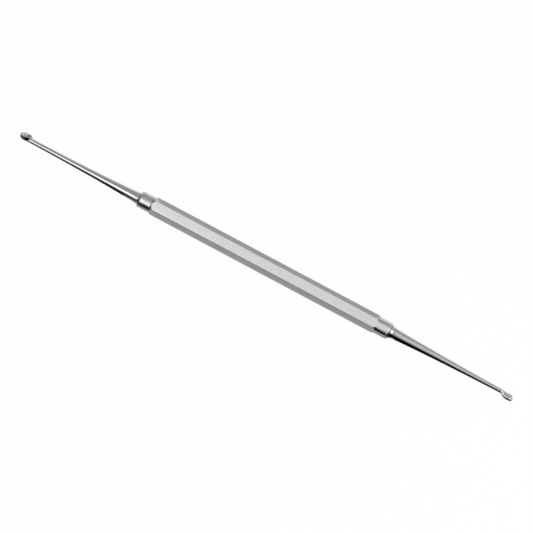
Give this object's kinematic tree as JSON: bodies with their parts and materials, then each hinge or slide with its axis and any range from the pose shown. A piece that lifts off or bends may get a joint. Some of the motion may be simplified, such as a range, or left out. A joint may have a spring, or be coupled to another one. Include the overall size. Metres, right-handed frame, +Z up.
{
  "type": "ear pick",
  "caption": "Double-ended steel ear pick: a hexagonal handle bar with a tapered shank and a small hollow scoop at each end.",
  "frame": {"origin": "middle of the grip's bottom flat, on the surface that the tool lies on", "axes": "+X along the tool to the small scoop, +Y across it to the side that the large scoop's cup leans to, +Z up out of the bottom flat"},
  "size_m": [0.133, 0.0046, 0.004],
  "materials": {
    "satin_bar_steel": "satin, fine brushing",
    "polished_shank_steel": "polished bare stainless steel",
    "silver_braze": "smooth silver braze"
  },
  "bodies": {
    "root": {"handle_bar": "satin_bar_steel", "large_scoop_end": "polished_shank_steel", "small_scoop_end": "polished_shank_steel", "large_end_braze": "silver_braze", "small_end_braze": "silver_braze"}
  },
  "joints": []
}
